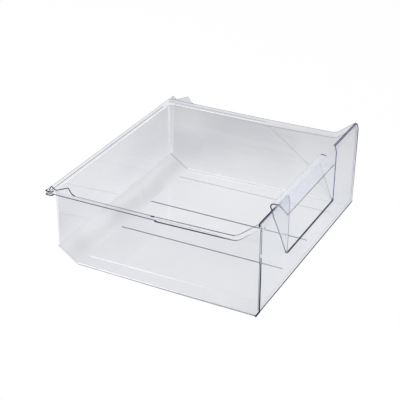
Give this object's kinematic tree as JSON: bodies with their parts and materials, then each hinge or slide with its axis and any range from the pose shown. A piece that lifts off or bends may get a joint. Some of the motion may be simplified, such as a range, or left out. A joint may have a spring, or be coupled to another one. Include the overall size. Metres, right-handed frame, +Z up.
{
  "type": "freezer drawer",
  "caption": "Clear plastic freezer drawer with a tall notched front, a hand recess and grip, a sloping rear floor and a flanged rim that hangs on side rails.",
  "frame": {"origin": "middle of the drawer on the plane that its floor ribs rest on", "axes": "+Z up, the front panel faces -Y, +X to the right of someone facing the front"},
  "size_m": [0.443, 0.388, 0.1706],
  "materials": {
    "clear_plastic": "clear, glossy",
    "grip_plastic": "clear, glossy, faint blue cast"
  },
  "bodies": {
    "root": {"front_panel": "clear_plastic", "floor_panel": "clear_plastic", "rear_slope_panel": "clear_plastic", "back_wall": "clear_plastic", "left_side_wall": "clear_plastic", "right_side_wall": "clear_plastic", "left_slide_rim": "clear_plastic", "right_slide_rim": "clear_plastic", "back_rim": "clear_plastic", "left_stop_fin": "clear_plastic", "right_stop_fin": "clear_plastic", "left_rear_ear": "clear_plastic", "right_rear_ear": "clear_plastic", "handle_recess": "grip_plastic", "handle_grip": "grip_plastic", "left_handle_cheek": "clear_plastic", "right_handle_cheek": "clear_plastic", "glide_rib_1": "clear_plastic", "glide_rib_2": "clear_plastic", "glide_rib_3": "clear_plastic", "glide_rib_4": "clear_plastic"}
  },
  "joints": []
}
